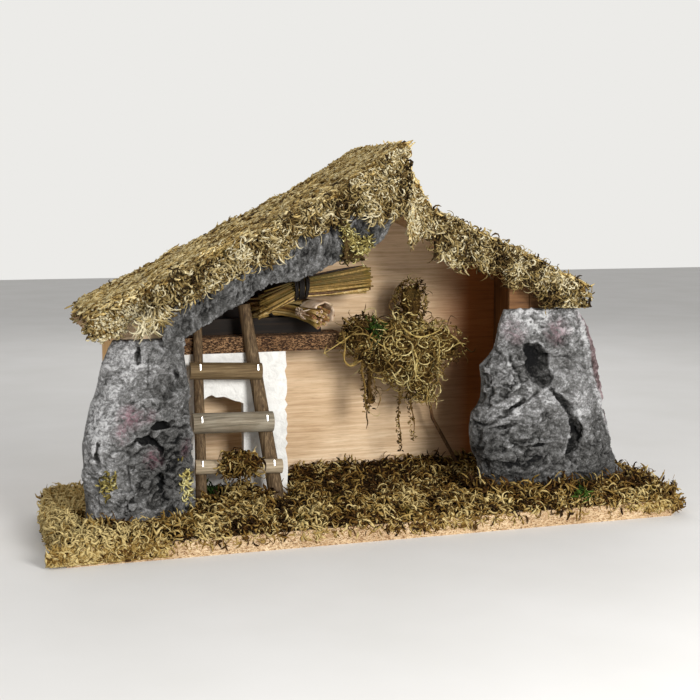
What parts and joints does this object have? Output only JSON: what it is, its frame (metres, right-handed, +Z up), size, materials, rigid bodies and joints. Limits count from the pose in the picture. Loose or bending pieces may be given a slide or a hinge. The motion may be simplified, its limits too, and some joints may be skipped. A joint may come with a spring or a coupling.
{
  "type": "nativity stable",
  "caption": "Rustic wooden stable with a moss-covered gable roof, rock pillars and arch, a loft, a ladder and a mossy base board.",
  "frame": {"origin": "under the middle of the base board, on the surface it stands on", "axes": "+X to the right along the front, +Y to the back, +Z up"},
  "size_m": [0.632, 0.21, 0.3736],
  "materials": {
    "chipboard": "raw chipboard with flakes showing at the sawn edges",
    "plywood": "raw thin plywood, fine grain",
    "pine": "raw planed pine",
    "dark_wood": "wood stained dark grey",
    "plaster": "white rough render on a thin board",
    "twig": "weathered split twigs",
    "staple_wire": "bright galvanised wire",
    "rock": "matt painted grey, dry-brushed light on the ridges",
    "straw": "dry stalks",
    "tie_cord": "dark twine",
    "moss": "dried curly moss"
  },
  "bodies": {
    "root": {"base_board": "chipboard", "back_wall": "plywood", "left_wall": "pine", "right_wall": "pine", "front_gable_left": "plywood", "front_panel_right": "plywood", "roof_board_left": "plywood", "roof_board_right": "plywood", "loft_floor": "chipboard", "loft_batten": "dark_wood", "plaster_wall": "plaster", "ladder_rail_left": "twig", "ladder_rail_right": "twig", "ladder_rung_bottom": "twig", "ladder_rung_middle": "twig", "ladder_rung_top": "twig", "ladder_staples": "staple_wire", "rock_arch": "rock", "rock_pillar_left": "rock", "rock_pillar_right": "rock", "straw_sheaf_long": "straw", "straw_tie_long": "tie_cord", "straw_sheaf_short": "straw", "straw_tie_short": "tie_cord", "tree_trunk": "twig", "tree_foliage": "moss", "roof_moss_left": "moss", "roof_moss_right": "moss", "ridge_moss": "moss", "arch_moss": "moss", "ground_moss_front": "moss", "ground_moss_middle": "moss", "ground_moss_inside": "moss", "ground_moss_left": "moss", "ground_moss_right": "moss", "ladder_foot_moss": "moss", "rung_moss": "moss", "back_staples": "staple_wire"}
  },
  "joints": []
}
